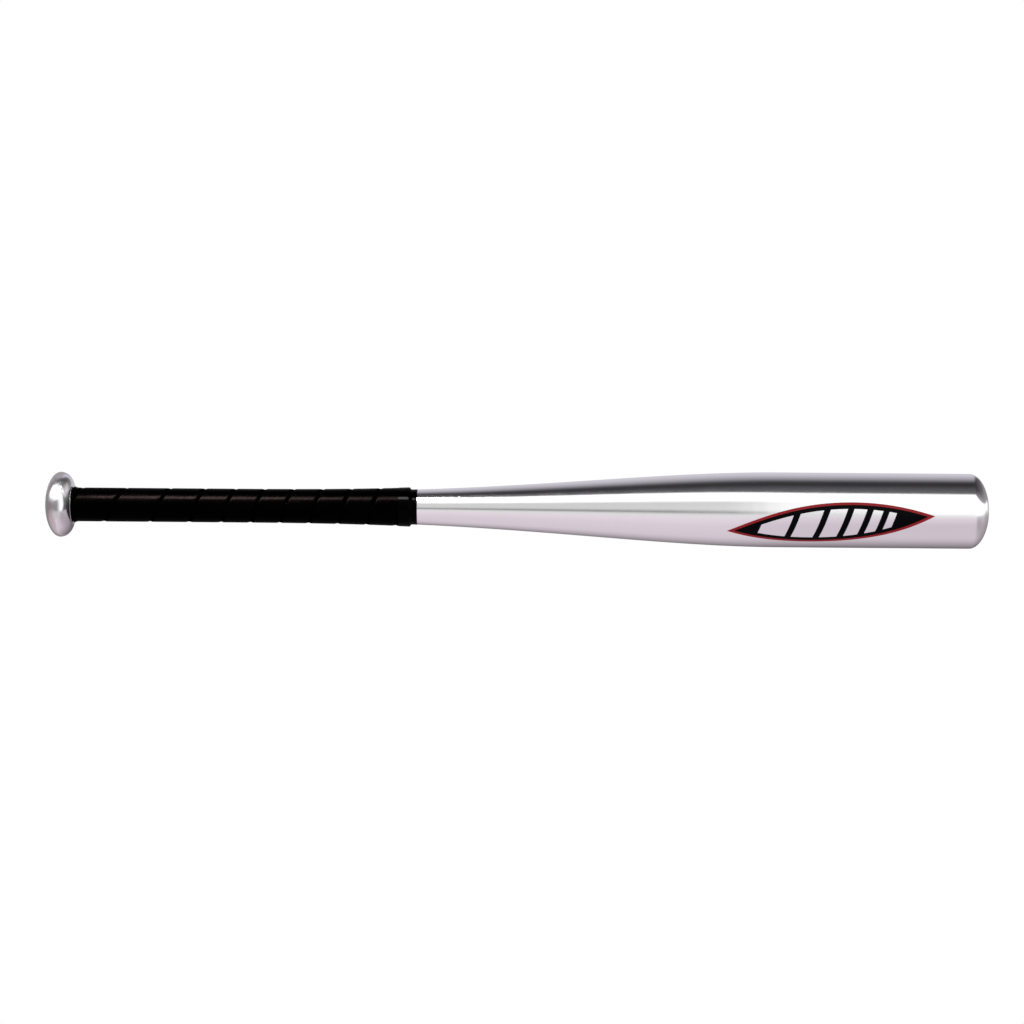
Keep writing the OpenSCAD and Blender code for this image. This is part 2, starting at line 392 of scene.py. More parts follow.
def pressed_fibre(s):
    fibres = s.noise(s.place((0.2, 1, 0.35)), 1600, 5, 0.7)
    shade = s.mix(fibres, (0.32, 0.21, 0.11), (0.62, 0.47, 0.3))
    return s.add(
        "ShaderNodeBsdfPrincipled", Base_Color=shade, Roughness=0.85, Normal=s.bump(fibres, 0.15 * MM)
    )


def adhesive_film(s):
    weave = s.add("ShaderNodeTexChecker", Vector=s.place(), Scale=1400.0).outputs["Fac"]
    shade = s.mix(weave, (0.012, 0.012, 0.012), (0.02, 0.02, 0.02))
    return s.add(
        "ShaderNodeBsdfPrincipled", Base_Color=shade, Roughness=0.5, Normal=s.bump(weave, 0.02 * MM)
    )


SHELL_METAL = material("polished_aluminium", turned_metal((0.87, 0.86, 0.87), 0.15, 0.004 * MM))
KNOB_METAL = material("knob_aluminium", turned_metal((0.86, 0.84, 0.86), 0.2, 0.003 * MM))
WELD_METAL = material("weld_bead", turned_metal((0.6, 0.6, 0.63), 0.4, 0.03 * MM))
SLUG_STEEL = material("slug_steel", turned_metal((0.45, 0.45, 0.47), 0.35, 0.01 * MM))
LEATHER = material("grip_leather", grip_leather)
TAPE = material("tape_pvc", tape_pvc)
RUBBER = material("plug_rubber", rubber)
RED = material("vinyl_red", vinyl((0.30, 0.006, 0.01)))
BLACK = material("vinyl_black", vinyl((0.0006, 0.0005, 0.001), 0.14, 1.12))
SILVER = material("vinyl_silver", turned_metal((0.84, 0.83, 0.85), 0.22, 0.003 * MM))


# --- Tube, plug and knob --------------------------------------------------------------------------

def ellipse_arc(centre, half_length, radius, start_r, end_r, count):
    """Points on a quarter ellipse about the axis, from one radius to another."""
    angles = np.linspace(math.acos(min(1, start_r / radius)), math.acos(min(1, end_r / radius)), count)
    return [(centre + half_length * math.sin(a), radius * math.cos(a)) for a in angles]


def bat_shell():
    """Handle, swell, barrel and dome in one wall, with a seat for the plug and a chamfer for the weld."""
    dome = TIP_X - BARREL_END
    dome_wall = 3 * MM
    chamfer_length, chamfer_depth = 2 * MM, 1.5 * MM
    seat_x = TIP_X - PLUG_FLANGE
    seat_r = PLUG_R + CLEARANCE
    points = cad_points("bat_shell")
    hole_r = radii(points[points[:, 0] > seat_x - TOLERANCE]).min()
    stations = np.linspace(TUBE_START + chamfer_length, BARREL_END, 220)
    weld_r = outer_r(stations[0]) - chamfer_depth
    bore_r = float(inner_r(BARREL_END))
    outside = [(TUBE_START, weld_r)] + [(x, float(outer_r(x))) for x in stations]
    outside += ellipse_arc(BARREL_END, dome, BARREL_R, BARREL_R, seat_r, 48)[1:]
    hole = [(seat_x, seat_r), (seat_x, hole_r)]
    # Where an arc meets the stations, their shared point is left out of the arc.
    inside = ellipse_arc(BARREL_END, dome - dome_wall, bore_r, hole_r, bore_r, 24)[:-1]
    inside += [(x, float(inner_r(x))) for x in stations[::-4]]
    inside.append((TUBE_START, float(inner_r(TUBE_START))))
    piece = turned("bat_shell_skin", rounded(outside + hole + inside, 0.3 * MM), SHELL_METAL, 224)
    return stands_for(piece, "bat_shell")


def knob():
    """Two elliptical sides, the first cut off at a flat face, and a spigot drilled for the balance slug."""
    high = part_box("knob")[1]
    xs, rs = rings("knob", np.max)
    wide_x = xs[np.argmax(rs)]
    wide_r = high.z
    face_r = rs[0]
    back_x = TUBE_START
    shoulder_x = back_x + 0.1 * MM
    shoulder_r = float(outer_r(back_x)) + 0.5 * MM
    neck_r = 14.2 * MM
    neck_x = back_x - CLEARANCE
    spigot_r = float(inner_r(back_x)) - CLEARANCE
    spigot_end = high.x
    spigot_chamfer = 1 * MM
    bore_r, bore_floor = 6 * MM, 8 * MM
    # The end side's ellipse is as long as it must be to pass through the rim of the face.
    reach = wide_x / math.sqrt(1 - (face_r / wide_r) ** 2)
    start = math.acos(face_r / wide_r)
    centre_drill = [(0.9 * MM, 0), (0.25 * MM, 0.9 * MM), (0, 1.5 * MM)]
    end_side = [(wide_x - reach * math.sin(a), wide_r * math.cos(a)) for a in np.linspace(start, 0, 56)]
    grip_side = [
        (wide_x + (neck_x - wide_x) * math.sin(a), neck_r + (wide_r - neck_r) * math.cos(a))
        for a in np.linspace(0, math.pi / 2, 40)
    ]
    grip_side.append((shoulder_x, neck_r))
    spigot = [
        (shoulder_x, shoulder_r), (back_x, spigot_r), (spigot_end - spigot_chamfer, spigot_r),
        (spigot_end, spigot_r - spigot_chamfer), (spigot_end, bore_r), (bore_floor, bore_r), (bore_floor, 0),
    ]
    outline = rounded(centre_drill + end_side + grip_side[1:] + spigot, 0.5 * MM, least_deg=14)
    return stands_for(turned("knob_turning", outline, KNOB_METAL, 224), "knob")


def end_plug():
    """A flange with a raised ring and a dished middle, a neck and a barb that holds it in the hole."""
    low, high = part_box("end_plug")
    xs, rs = rings("end_plug", np.max)
    neck_r = 5.95 * MM
    dish = 0.35 * MM
    barb_length = 0.6 * MM
    seat_x = high.x - PLUG_FLANGE
    barb_r = rs[(xs < seat_x)].max()
    barb_x = xs[np.isclose(rs, barb_r, atol=1e-6)][0]
    outline = [
        (high.x - dish, 0), (high.x - dish, 2.0 * MM), (high.x, 2.6 * MM),
        (high.x, 5.4 * MM), (high.x - 0.25 * MM, 6.4 * MM), (high.x - 0.8 * MM, high.z), (seat_x, high.z),
        (seat_x, neck_r), (barb_x + barb_length, neck_r), (barb_x, barb_r), (low.x, neck_r), (low.x, 0),
    ]
    return stands_for(turned("end_plug_rubber", rounded(outline, 0.4 * MM), RUBBER, 128), "end_plug")


# --- Grip -----------------------------------------------------------------------------------------

WRAP_LOW, WRAP_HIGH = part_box("grip_wrap")
WRAP_START, WRAP_END = WRAP_LOW.x, WRAP_HIGH.x
WRAP_STACK = WRAP_HIGH.z - float(outer_r(WRAP_END))
UNDERLAY = 0.3 * MM
GLUE_GAP = 0.02 * MM
# The turns are longer near the anchor, where the seam crosses the top of the handle at turn 0.
WRAP_PITCH = 21.85 * MM
WRAP_EXTRA = 17 * MM
WRAP_ANCHOR = 61 * MM
WRAP_CLOSING = 1.6
WRAP_TURNS = (-2.3, 9)
WRAP_FLARE = 2.1 * MM
FLARE_LENGTH = 4.0 * MM
LEAST_WIDTH = 0.4 * MM
SEAM_GAP = 0.12 * MM
SEAM_DEPTH = 0.5 * MM
SEAM_REACH = (2.0 * MM, 3.0 * MM)


def seam_x(turn):
    """Where the seam crosses the top of the handle after a number of turns."""
    closing = 1 - 2 / (math.exp(WRAP_CLOSING * turn) + 1)
    return WRAP_ANCHOR + WRAP_PITCH * turn + WRAP_EXTRA * closing


def within_wrap(x):
    return min(WRAP_END, max(WRAP_START, x))


def ease(t):
    t = np.clip(t, 0, 1)
    return t * t * (3 - 2 * t)


def grip_wrap():
    """One leather strip wound in a left-hand helix. Its pared edges leave a soft groove along the seam."""
    per_turn, across = 144, 44
    count = round((WRAP_TURNS[1] - WRAP_TURNS[0]) * per_turn)
    body = bmesh.new()
    uv = body.loops.layers.uv.new("strip")
    pared = body.verts.layers.float.new("pared")
    sections, places = [], {}
    # Points across the strip, a little closer together by its edges.
    even = np.linspace(0, 1, across)
    share = ease(even) * 0.35 + even * 0.65
    length = 0.0
    for i in range(count + 1):
        turn = WRAP_TURNS[0] + i / per_turn
        angle = TAU * turn
        left = min(within_wrap(seam_x(turn)), WRAP_END - LEAST_WIDTH)
        right = max(within_wrap(seam_x(turn + 1) - SEAM_GAP), left + LEAST_WIDTH)
        xs = left + (right - left) * share
        core = np.array([float(outer_r(x)) for x in xs])
        room = (right - left) / 2
        groove = sum(
            1 - ease(d / min(reach, room))
            for d, reach in ((xs - left, SEAM_REACH[0]), (right - xs, SEAM_REACH[1]))
        )
        flare = WRAP_FLARE * np.clip(1 - (xs - WRAP_START) / FLARE_LENGTH, 0, 1) ** 2
        groove = np.clip(groove, 0, 1)
        top = core + WRAP_STACK + flare - SEAM_DEPTH * groove
        bottom = core[[-1, 0]] + UNDERLAY + GLUE_GAP
        section = list(zip(xs, top, groove)) + [(right, bottom[0], 1), (left, bottom[1], 1)]
        ring = []
        for x, r, thinned in section:
            v = body.verts.new((x, r * math.sin(angle), r * math.cos(angle)))
            v[pared] = thinned
            places[v] = (length, x - left)
            ring.append(v)
        sections.append(ring)
        length += TAU * float(core.mean() + WRAP_STACK) / per_turn
    size = across + 2
    for a, b in zip(sections, sections[1:]):
        for k in range(size):
            body.faces.new((a[k], a[(k + 1) % size], b[(k + 1) % size], b[k]))
    body.faces.new(sections[0])
    body.faces.new(sections[-1][::-1])
    for face in body.faces:
        for loop in face.loops:
            loop[uv].uv = places[loop.vert]
    piece = finish_mesh("grip_wrap_leather", body, LEATHER, 50)
    return stands_for(piece, "grip_wrap")


def finishing_tape():
    """Tape wound on under tension: it lies on the wrap's end, dips over the step and grips the bare tube."""
    low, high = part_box("finishing_tape")
    film = 0.13 * MM
    dip_start, dip_length = WRAP_END - 0.5 * MM, 1.8 * MM
    crease_x, crease_length = WRAP_END + 0.6 * MM, 1.1 * MM
    lap_angle = 1.2

    def tape_r(x, angle):
        on_wrap = float(outer_r(x)) + WRAP_STACK + 2 * GLUE_GAP
        on_tube = float(outer_r(x)) + GLUE_GAP
        step = float(ease((x - dip_start) / dip_length))
        pleats = 0.07 * math.sin(13 * angle) + 0.05 * math.sin(29 * angle + 1.0)
        crease = math.exp(-((x - crease_x) / crease_length) ** 2)
        return on_wrap + (on_tube - on_wrap) * step + pleats * crease * MM

    segments = 256
    xs = np.linspace(low.x, high.x, 40)
    body = bmesh.new()
    loops = []
    for i in range(segments):
        angle = TAU * i / segments
        # The film is thickest where its last turn starts and thins round the handle, so the lap is a step.
        thickness = film * (1.25 - 0.5 * i / segments)
        under = [(x, tape_r(x, angle)) for x in xs]
        over = [(x, r + thickness) for x, r in under]
        around = angle + lap_angle
        ring = [
            body.verts.new((x, r * math.cos(around), r * math.sin(around))) for x, r in under + over[::-1]
        ]
        loops.append(ring)
    size = len(loops[0])
    for a, b in zip(loops, loops[1:] + loops[:1]):
        for k in range(size):
            body.faces.new((a[k], a[(k + 1) % size], b[(k + 1) % size], b[k]))
    return stands_for(finish_mesh("finishing_tape_film", body, TAPE, 40), "finishing_tape")


# --- Decal ----------------------------------------------------------------------------------------

VINYL = 0.15 * MM
VINYL_SINK = 0.02 * MM
DECAL_MARGIN = 3 * MM
BAR_COUNT = 6
BAR_WIDTH = 22 * MM
BAR_RATIO = 0.77
BAR_GAP = 5 * MM
BAR_SLANT = 0.45
BARS_LEAD = 24 * MM


def unwrapped(node):
    """The CAD decal laid flat: points as (distance along X, distance round the barrel)."""
    points = cad_points(node)
    return np.column_stack([points[:, 0], np.arctan2(points[:, 2], -points[:, 1]) * BARREL_R])


border_flat = unwrapped("decal_border")
left_tip = border_flat[border_flat[:, 0].argmin()]
right_tip = border_flat[border_flat[:, 0].argmax()]
DECAL_CENTRE = (left_tip + right_tip) / 2
DECAL_ALONG = (right_tip - left_tip) / np.hypot(*(right_tip - left_tip))
DECAL_ACROSS = np.array([-DECAL_ALONG[1], DECAL_ALONG[0]])
DECAL_HALF_L = np.hypot(*(right_tip - left_tip)) / 2
DECAL_HALF_W = np.abs((border_flat - DECAL_CENTRE) @ DECAL_ACROSS).max()
FIELD_HALF_W = np.abs((unwrapped("decal_field") - DECAL_CENTRE) @ DECAL_ACROSS).max()
BORDER = DECAL_HALF_W - FIELD_HALF_W


def panel(inset, steps=48):
    """Pointed panel with two long arcs for sides, shrunk by inset, as flat points."""
    side_r = (DECAL_HALF_L ** 2 + DECAL_HALF_W ** 2) / (2 * DECAL_HALF_W)
    arc_r = side_r - inset
    half_angle = math.acos((side_r - DECAL_HALF_W) / arc_r)
    upper = [
        (arc_r * math.sin(a), arc_r * math.cos(a) - side_r + DECAL_HALF_W)
        for a in np.linspace(-half_angle, half_angle, steps)
    ]
    return upper + [(-x, -y) for x, y in upper[1:-1]]


def stripe(i):
    """Left and right edges of a slanted bar, where it crosses the decal's long axis."""
    start = BARS_LEAD - DECAL_HALF_L + i * BAR_GAP
    start += BAR_WIDTH * (1 - BAR_RATIO ** i) / (1 - BAR_RATIO)
    return start, start + BAR_WIDTH * BAR_RATIO ** i


def flat_mesh(outline):
    """A bmesh of the filled outline, lying flat."""
    body = bmesh.new()
    body.faces.new([body.verts.new((x, y, 0)) for x, y in outline])
    return body


def cut(body, point, normal, keep=None):
    """Cuts the flat mesh along a line. keep is 'front' or 'back' of the normal, or None for both."""
    bmesh.ops.bisect_plane(
        body, geom=body.verts[:] + body.edges[:] + body.faces[:], plane_co=(*point, 0),
        plane_no=(*normal, 0), clear_inner=keep == "front", clear_outer=keep == "back",
    )


def is_inside(outline, x, y):
    """Whether a point is inside a convex outline."""
    count = len(outline)
    signs = [
        (outline[(i + 1) % count][0] - ax) * (y - ay) - (outline[(i + 1) % count][1] - ay) * (x - ax)
        for i, (ax, ay) in enumerate(outline)
    ]
    return max(signs) <= 1e-12 or min(signs) >= -1e-12


def bent_film(name, body, material):
    """Cuts a flat mesh into small tiles, gives it the vinyl's thickness and bends it round the barrel."""
    tile = 1.5 * MM
    for y in np.arange(-DECAL_HALF_W, DECAL_HALF_W, tile):
        cut(body, (0, y), (0, 1))
    for x in np.arange(-DECAL_HALF_L, DECAL_HALF_L, 3 * tile):
        cut(body, (x, 0), (1, 0))
    bmesh.ops.remove_doubles(body, verts=body.verts, dist=1e-7)
    extruded = bmesh.ops.extrude_face_region(body, geom=body.faces[:])
    tops = {g for g in extruded["geom"] if isinstance(g, bmesh.types.BMVert)}
    for v in body.verts:
        flat = DECAL_CENTRE + DECAL_ALONG * v.co.x + DECAL_ACROSS * v.co.y
        angle = flat[1] / BARREL_R
        r = float(outer_r(flat[0])) + (VINYL if v in tops else -VINYL_SINK)
        v.co = Vector((flat[0], -r * math.cos(angle), r * math.sin(angle)))
    return finish_mesh(name, body, material, 40)


def cut_along(body, outline):
    """Cuts the flat mesh along each side of an outline."""
    for i, (x, y) in enumerate(outline):
        next_x, next_y = outline[(i + 1) % len(outline)]
        cut(body, (x, y), (next_y - y, x - next_x))


def decal():
    """A red border, a black field with a window for each bar, and the silver bars in the windows."""
    border_outline, field_outline = panel(0), panel(BORDER)
    bar_outline = panel(BORDER + DECAL_MARGIN)
    lean = math.hypot(1, BAR_SLANT)
    along = (1 / lean, -BAR_SLANT / lean)

    ring = bmesh.new()
    outer = [ring.verts.new((x, y, 0)) for x, y in border_outline]
    inner = [ring.verts.new((x, y, 0)) for x, y in field_outline]
    count = len(outer)
    for i in range(count):
        j = (i + 1) % count
        ring.faces.new((outer[i], outer[j], inner[j], inner[i]))
    stands_for(bent_film("decal_border_film", ring, RED), "decal_border")

    bars = bmesh.new()
    field = flat_mesh(field_outline)
    for i in range(BAR_COUNT):
        start, end = stripe(i)
        cut(field, (start, 0), along)
        cut(field, (end, 0), along)
        bar = flat_mesh(bar_outline)
        cut(bar, (start, 0), along, "front")
        cut(bar, (end, 0), along, "back")
        carrier = bpy.data.meshes.new("bar")
        bar.to_mesh(carrier)
        bars.from_mesh(carrier)
        bar.free()
        bpy.data.meshes.remove(carrier)
    cut_along(field, bar_outline)
    windows = []
    for face in field.faces:
        middle = face.calc_center_median()
        level = middle.x - middle.y * BAR_SLANT
        in_bar = any(start < level < end for start, end in map(stripe, range(BAR_COUNT)))
        if in_bar and is_inside(bar_outline, middle.x, middle.y):
            windows.append(face)
    bmesh.ops.delete(field, geom=windows, context="FACES")
    stands_for(bent_film("decal_field_film", field, BLACK), "decal_field")
    stands_for(bent_film("decal_bars_film", bars, SILVER), "decal_bars")


# --- Hidden pieces that keep their CAD shape ------------------------------------------------------

def dress(node, finish):
    """Gives a CAD node a procedural material."""
    mesh = frame["nodes"][node].data
    mesh.materials.clear()
    mesh.materials.append(finish)


# --- Assembly -------------------------------------------------------------------------------------

bat_shell()
knob()
end_plug()
grip_wrap()
finishing_tape()
decal()
dress("knob_weld", WELD_METAL)
dress("balance_slug", SLUG_STEEL)
dress("barrel_foam", material("barrel_foam", open_cell_foam))
dress("foam_dam", material("foam_dam", pressed_fibre))
dress("grip_underlay", material("adhesive_film", adhesive_film))


# --- Studio ---------------------------------------------------------------------------------------

def tones(*levels):
    """Stops of a ramp from (place, level) pairs, with a tint when a third value is given."""
    tints = {"pink": (1.06, 0.94, 1.04), "rose": (1.12, 0.93, 0.97), "lavender": (1.0, 0.97, 1.08)}
    stops = []
    for place, level, *tint in levels:
        shade = tints[tint[0]] if tint else (1, 1, 1)
        stops.append((place, tuple(level * c for c in shade)))
    return stops


class Surroundings(Shader):
    """What the bat sees in each direction.

    Elevation is measured round X, from -Y at 0 over +Z at 90 degrees.
    """

    def __init__(self, tree):
        super().__init__(tree)
        axes = self.add(
            "ShaderNodeSeparateXYZ", i0=self.add("ShaderNodeTexCoord").outputs["Generated"]
        ).outputs
        self.x, self.y, self.z = axes["X"], axes["Y"], axes["Z"]
        self.elevation = self.math("ARCTAN2", self.z, self.math("MULTIPLY", self.y, -1))

    def by_elevation(self, stops, skew=0.0):
        """By elevation in degrees, after skew radians are added to it."""
        skewed = self.math("ADD", self.elevation, skew)
        turn = self.math("MULTIPLY_ADD", skewed, 1 / TAU, 0.5)
        return self.ramp(turn, [((degrees + 180) / 360, colour) for degrees, colour in stops])

    def by_height(self, stops, lean=0.0):
        """By the height of the direction, with level lines that climb by lean towards +Y."""
        reach = 1.2
        height = self.math("MULTIPLY_ADD", self.y, -lean, self.z)
        share = self.math("MULTIPLY_ADD", height, 0.5 / reach, 0.5)
        return self.ramp(share, [((level + reach) / (2 * reach), colour) for level, colour in stops])

    def plane(self, a, b, c):
        """a * x + b * y + z - c, which is 0 where a plane cuts the sphere of directions."""
        partial = self.math("MULTIPLY_ADD", self.y, b, self.z)
        partial = self.math("MULTIPLY_ADD", self.x, a, partial)
        return self.math("SUBTRACT", partial, c)

    def to_left(self, start, end):
        return self.ease(self.x, -start, -end)

    def to_right(self, start, end):
        return self.ease(self.x, start, end)


# Brightness of the soft box, of the camera's dark shape against it and of the table under it.
BOX = 1.35
CAMERA = 0.27
TABLE = 0.6
# Distances of the sheets from the bat's axis.
BOX_DISTANCE = 220 * MM
STRIP_DISTANCE = 210 * MM


def below_the_box(s):
    """The soft box and the pale table, with the dark shape of the camera between them."""
    barrel = s.by_elevation(tones(
        (-180, 0.12), (-152, 0.2, "pink"), (-144, 0.25, "pink"), (-121, 0.42, "pink"), (-102, 0.6, "pink"),
        (-88, 0.66, "pink"), (-45, 0.64, "pink"), (-25, 0.78, "pink"), (-16, 0.93), (-7, BOX), (180, BOX),
    ))
    handle = s.by_elevation(tones(
        (-180, 0.15), (-150, 0.3, "pink"), (-134, 0.42, "pink"), (-115, 0.6, "pink"), (-100, 0.7, "pink"),
        (-55, 0.76, "pink"), (-35, 0.84, "pink"), (-20, 0.86), (-15, 0.72), (-11, 0.31), (-8, 0.31),
        (-4, 0.58), (1, 0.75), (22, 0.66), (29, BOX), (180, BOX),
    ))
    left_front = s.by_height(tones(
        (-1, 0.6, "pink"), (-0.65, 0.6, "rose"), (-0.48, 0.58, "rose"), (-0.34, 0.42, "rose"), (-0.17, 0.26),
        (0.02, 0.28), (0.17, 0.55), (0.28, 0.9), (0.36, BOX), (1, BOX),
    ))
    left_end = s.by_height(tones(
        (-1, 0.55, "pink"), (-0.6, 0.48, "rose"), (-0.3, 0.44, "rose"), (-0.1, 0.24, "rose"),
        (0.05, 0.24, "rose"), (0.16, 0.5), (0.26, BOX), (1, BOX),
    ))
    right_front = s.by_height(tones(
        (-1, 0.6, "pink"), (-0.8, 0.5, "pink"), (-0.5, 0.42, "pink"), (-0.3, 0.48, "pink"), (-0.16, 0.62),
        (-0.05, BOX), (1, BOX),
    ), 0.15)
    right_back = s.by_height(tones((-1, 0.48, "pink"), (-0.5, 0.36, "pink"), (-0.1, 0.38, "pink"), (0, 0.5)))
    left = s.mix(s.ease(s.y, -0.6, -0.1), left_front, left_end)
    right = s.mix(s.all_of(s.ease(s.y, 0.2, 0.7), s.ease(s.z, 0.05, -0.05)), right_front, right_back)
    low = s.mix(s.to_right(0.03, 0.15), handle, barrel)
    low = s.mix(s.to_left(0.17, 0.3), low, left)
    low = s.mix(s.to_right(0.25, 0.7), low, right)
    far_end = s.all_of(s.to_right(0.05, 0.2), s.ease(s.y, 0.65, 0.9), s.ease(s.z, -0.04, 0.02))
    return s.mix(far_end, low, (0.66, 0.64, 0.66))


def above_the_box(s):
    """The dark gap over the bat and the pale lavender wall behind it."""
    skew = s.math("MULTIPLY_ADD", s.x, -0.4, 0.07)
    middle = s.by_elevation(tones(
        (-180, 0.6, "lavender"), (-140, 0.4), (0, 0.13), (58, 0.13), (72, 0.09, "lavender"),
        (84, 0.035, "lavender"), (95, 0.04, "lavender"), (104, 0.15, "lavender"), (111, 0.31, "lavender"),
        (128, 0.55, "lavender"), (148, 0.68, "lavender"), (180, 0.62, "lavender"),
    ), skew)
    left = s.mix(s.ease(s.y, 0.2, 0.75), (0.17, 0.16, 0.16), (0.25, 0.23, 0.24))
    wall = s.by_height(tones((-1, 0.6, "lavender"), (0, 0.6, "lavender"), (0.25, 0.5, "lavender"), (1, 0.4)))
    right = s.by_height(tones(
        (-1, 0.11, "lavender"), (0.6, 0.11, "lavender"), (0.9, 0.045, "lavender"), (1, 0.04),
    ))
    right = s.mix(s.ease(s.plane(-2.0, 1.25, 0.5), 0.0, 0.6), right, wall)
    ceiling = s.mix(s.to_left(0.2, 0.5), middle, left)
    return s.mix(s.to_right(0.25, 0.45), ceiling, right)


def studio_world():
    """White to the camera. The bat sees a long soft box, a dark gap over it and a pale table below."""
    world = bpy.data.worlds.new("studio")
    world.use_nodes = True
    s = Surroundings(world.node_tree)
    low, ceiling = below_the_box(s), above_the_box(s)
    # The soft box's upper edge is a plane's cut. It is steeper beyond the knob and flatter at the tip.
    edge = s.plane(0.32, 0.483, 0.56)
    knob_edge = s.math("MULTIPLY", s.plane(0.231, 1.351, 0.5), 0.6)
    edge = s.blend(s.to_left(0.17, 0.3), edge, knob_edge)
    tip_edge = s.plane(0.355, 0.333, 0.6)
    edge = s.blend(s.to_right(0.2, 0.8), edge, tip_edge)
    spill = s.all_of(s.ease(tip_edge, 0.34, 0.0), s.to_right(0.25, 0.6))
    ceiling = s.mix(spill, ceiling, (0.34, 0.33, 0.34))
    sky = s.mix(s.ease(edge, -0.02, 0.02), low, ceiling)
    middle = s.ease(s.math("ABSOLUTE", s.x), 0.5, 0.35)
    behind = s.all_of(s.ease(s.y, 0.0, 0.2), s.ease(s.z, -0.02, 0.02), middle)
    sky = s.mix(behind, sky, ceiling)
    low_back = s.all_of(s.ease(s.y, 0.55, 0.8), s.ease(s.z, 0.1, -0.1), s.to_left(0.1, 0.3))
    sky = s.mix(low_back, sky, s.by_height(tones((-1, 0.4, "pink"), (-0.45, 0.26, "pink"), (0, 0.26))))

    seen = s.add("ShaderNodeLightPath").outputs["Is Camera Ray"]
    light = s.add("ShaderNodeBackground", Color=sky)
    backdrop = s.add("ShaderNodeBackground", Color=(1, 1, 1, 1))
    both = s.add("ShaderNodeMixShader", i0=seen, i1=light.outputs[0], i2=backdrop.outputs[0])
    s.add("ShaderNodeOutputWorld", Surface=both.outputs[0])
    bpy.context.scene.world = world


def bent_sheet(name, elevations, ends, light, colour=(1, 1, 1, 1)):
    """A light that only reflections show, bent round the bat's axis.

    elevations are its lowest and highest angles in degrees, and ends are the (x, distance from the axis)
    of its two ends. light(s, degrees, x) gives its strength and how solid it is at a place.
    """
    def build(s):
        axes = s.add("ShaderNodeSeparateXYZ", i0=s.place()).outputs
        up = s.math("ARCTAN2", axes["Z"], s.math("MULTIPLY", axes["Y"], -1))
        strength, solid = light(s, s.math("MULTIPLY", up, 360 / TAU), axes["X"])
        glow = s.add("ShaderNodeEmission", Color=colour, Strength=strength)
        clear = s.add("ShaderNodeBsdfTransparent")
        return s.add("ShaderNodeMixShader", i0=solid, i1=clear.outputs[0], i2=glow.outputs[0])

    body = bmesh.new()
    angles = np.linspace(math.radians(elevations[0]), math.radians(elevations[1]), 33)
    rows = [[body.verts.new((x, -r * math.cos(a), r * math.sin(a))) for x, r in ends] for a in angles]
    for low, high in zip(rows, rows[1:]):
        body.faces.new((low[0], low[1], high[1], high[0]))
    sheet = finish_mesh(name, body, material(name, build))
    sheet.visible_camera = False
    sheet.visible_diffuse = False
    sheet.visible_shadow = False


def knob_box():
    """The near end of the soft box as the knob sees it, with the camera's dark shape in it."""
    def light(s, degrees, x):
        camera_shape = s.all_of(s.ease(degrees, 20, 8), s.ease(x, 190 * MM, 30 * MM))
        box = s.blend(camera_shape, BOX, CAMERA)
        strength = s.blend(s.ease(degrees, -16, -30), box, TABLE)
        rims = [
            s.ease(degrees, -60, -40), s.ease(degrees, 65, 61),
            s.ease(x, left, left + 30 * MM), s.ease(x, right, right - 20 * MM),
        ]
        return strength, s.all_of(*rims)

    left, right = -175 * MM, 195 * MM
    bent_sheet("knob_box", (-60, 65), ((left, BOX_DISTANCE), (right, BOX_DISTANCE)), light)


def knob_flag():
    """What the grip side of the knob sees: the soft box, then a dim room beyond a curved edge.

    The sheet is a cone that the leather sees edge-on, so it hides the grip's strip light from the knob only.
    """
    def light(s, degrees, x):
        # The dim room's edge bends towards the knob by the square of the elevation.
        bend = s.math("MULTIPLY", s.math("MULTIPLY", degrees, degrees), 0.002 * MM)
        beyond = s.ease(s.math("ADD", x, bend), 29.6 * MM, 30.8 * MM)
        dim = s.math("MAXIMUM", beyond, s.ease(degrees, 57, 62))
        camera_shape = s.all_of(s.ease(degrees, 20, 8), s.ease(x, 30.4 * MM, 22.5 * MM))
        glow = s.all_of(s.ease(degrees, 18, 60), s.ease(x, 29.2 * MM, 31.0 * MM))
        room = s.math("MULTIPLY_ADD", glow, 0.45, 0.07)
        strength = s.blend(dim, s.blend(camera_shape, BOX, CAMERA), room)
        return strength, s.all_of(s.ease(degrees, -24, -14), s.ease(degrees, 95, 80))

    near_end, far_end = (32 * MM, 16 * MM), (-2 * MM, STRIP_DISTANCE - 2 * MM)
    bent_sheet("knob_flag", (-24, 95), (near_end, far_end), light)


def knob_wall():
    """The dim wall that the top of the knob sees behind it."""
    def light(s, degrees, x):
        rims = [s.ease(degrees, 100, 125), s.ease(degrees, 178, 165), s.ease(x, right, right - 40 * MM)]
        return brightness, s.all_of(*rims)

    brightness, tint = 0.36, (1.06, 0.96, 1.0, 1)
    left, right = -200 * MM, 60 * MM
    bent_sheet("knob_wall", (100, 178), ((left, BOX_DISTANCE), (right, BOX_DISTANCE)), light, tint)


def grip_light():
    """A narrow strip over the handle, strongest by the knob. It puts the highlight on the leather."""
    strongest, weakest = 120.0, 62.0
    left, right = -32 * MM, 268 * MM

    def light(s, degrees, x):
        fade = s.ease(x, 100 * MM, 230 * MM)
        strength = s.math("MULTIPLY_ADD", fade, weakest - strongest, strongest)
        rims = [
            s.ease(degrees, 43, 46), s.ease(degrees, 60, 57),
            s.ease(x, left, left + 12 * MM), s.ease(x, right, right - 18 * MM),
        ]
        return strength, s.all_of(*rims)

    bent_sheet("grip_light", (43, 60), ((left, STRIP_DISTANCE), (right, STRIP_DISTANCE)), light)


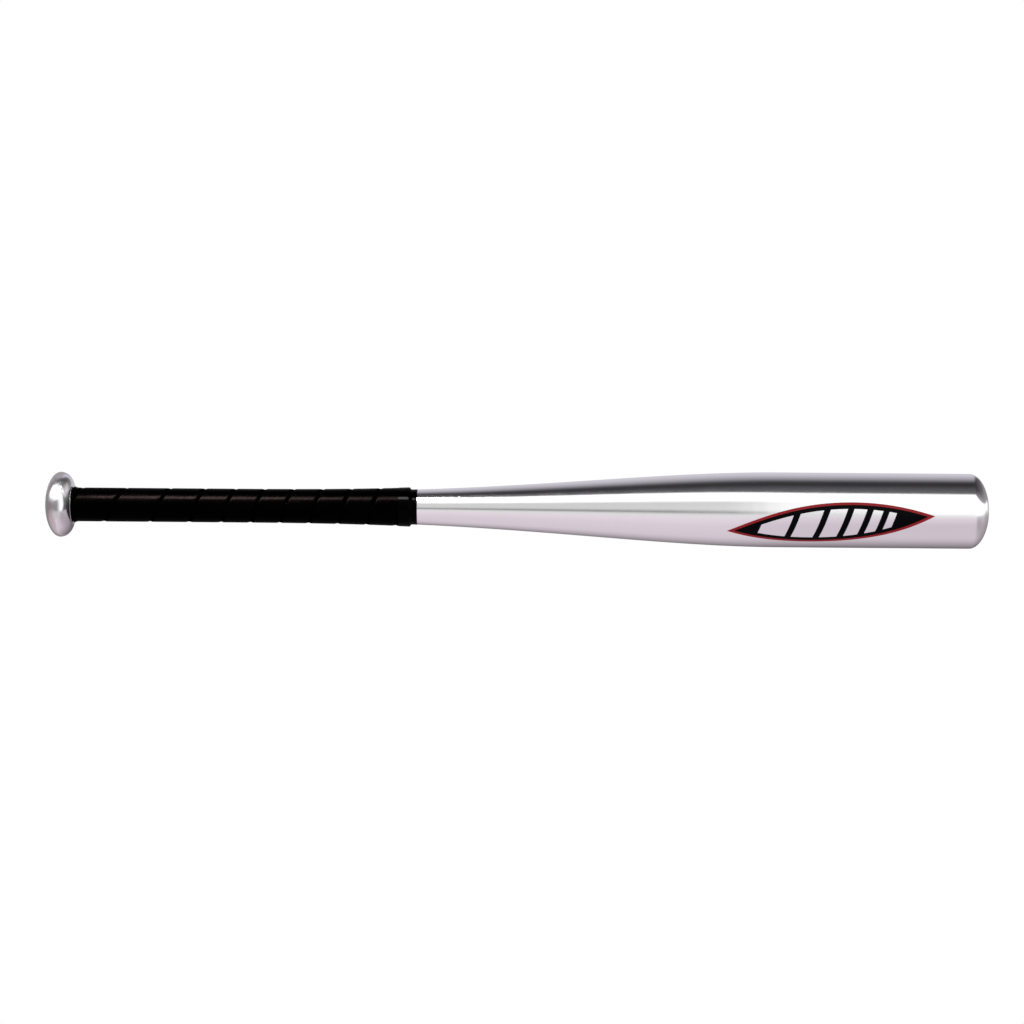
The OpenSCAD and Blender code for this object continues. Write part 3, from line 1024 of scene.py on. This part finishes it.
def floor():
    """Pale floor just under the bat. Seen edge-on it fades into the backdrop, and from below it is clear."""
    def build(s):
        geometry = s.add("ShaderNodeNewGeometry").outputs
        facing = s.add("ShaderNodeVectorMath", {"operation": "DOT_PRODUCT"},
                       i0=geometry["Incoming"], i1=geometry["Normal"]).outputs["Value"]
        speck = s.noise(s.place(), 30, 3)
        tone = s.mix(speck, (0.80, 0.80, 0.80), (0.84, 0.84, 0.84))
        matt = s.add("ShaderNodeBsdfDiffuse", Color=tone)
        bright = s.add("ShaderNodeEmission", Color=(1, 1, 1, 1))
        fade = s.ease(facing, 0.24, 0.5)
        top = s.add("ShaderNodeMixShader", i0=fade, i1=bright.outputs[0], i2=matt.outputs[0])
        clear = s.add("ShaderNodeBsdfTransparent")
        from_below = geometry["Backfacing"]
        return s.add("ShaderNodeMixShader", i0=from_below, i1=top.outputs[0], i2=clear.outputs[0])

    half = 6.0
    height = cad_box[0].z - 0.5 * MM
    mesh = bpy.data.meshes.new("floor")
    corners = [(-half, -half, height), (half, -half, height), (half, half, height), (-half, half, height)]
    mesh.from_pydata(corners, [], [(0, 1, 2, 3)])
    mesh.materials.append(material("pale_floor", build))
    plane = bpy.data.objects.new("floor", mesh)
    bpy.context.scene.collection.objects.link(plane)
    plane.visible_glossy = False
    plane.visible_diffuse = False
    plane.visible_shadow = False


def camera():
    """Level with the bat and square to it, near enough to show a little perspective at both ends."""
    distance = 1.82
    frame_width = 0.77405
    middle_x = (cad_box[0].x + cad_box[1].x) / 2
    aim_x, aim_z = middle_x - 3.95 * MM, -3.2 * MM
    roll = math.radians(-0.45)
    data = bpy.data.cameras.new("camera")
    data.sensor_width = 36
    data.lens = 36 * distance / frame_width
    eye = bpy.data.objects.new("camera", data)
    eye.location = (aim_x, -distance, aim_z)
    eye.rotation_euler = (math.radians(90), roll, 0)
    bpy.context.scene.collection.objects.link(eye)
    bpy.context.scene.camera = eye


studio_world()
knob_box()
knob_flag()
knob_wall()
grip_light()
floor()
camera()
bpy.context.scene.view_settings.view_transform = "Standard"
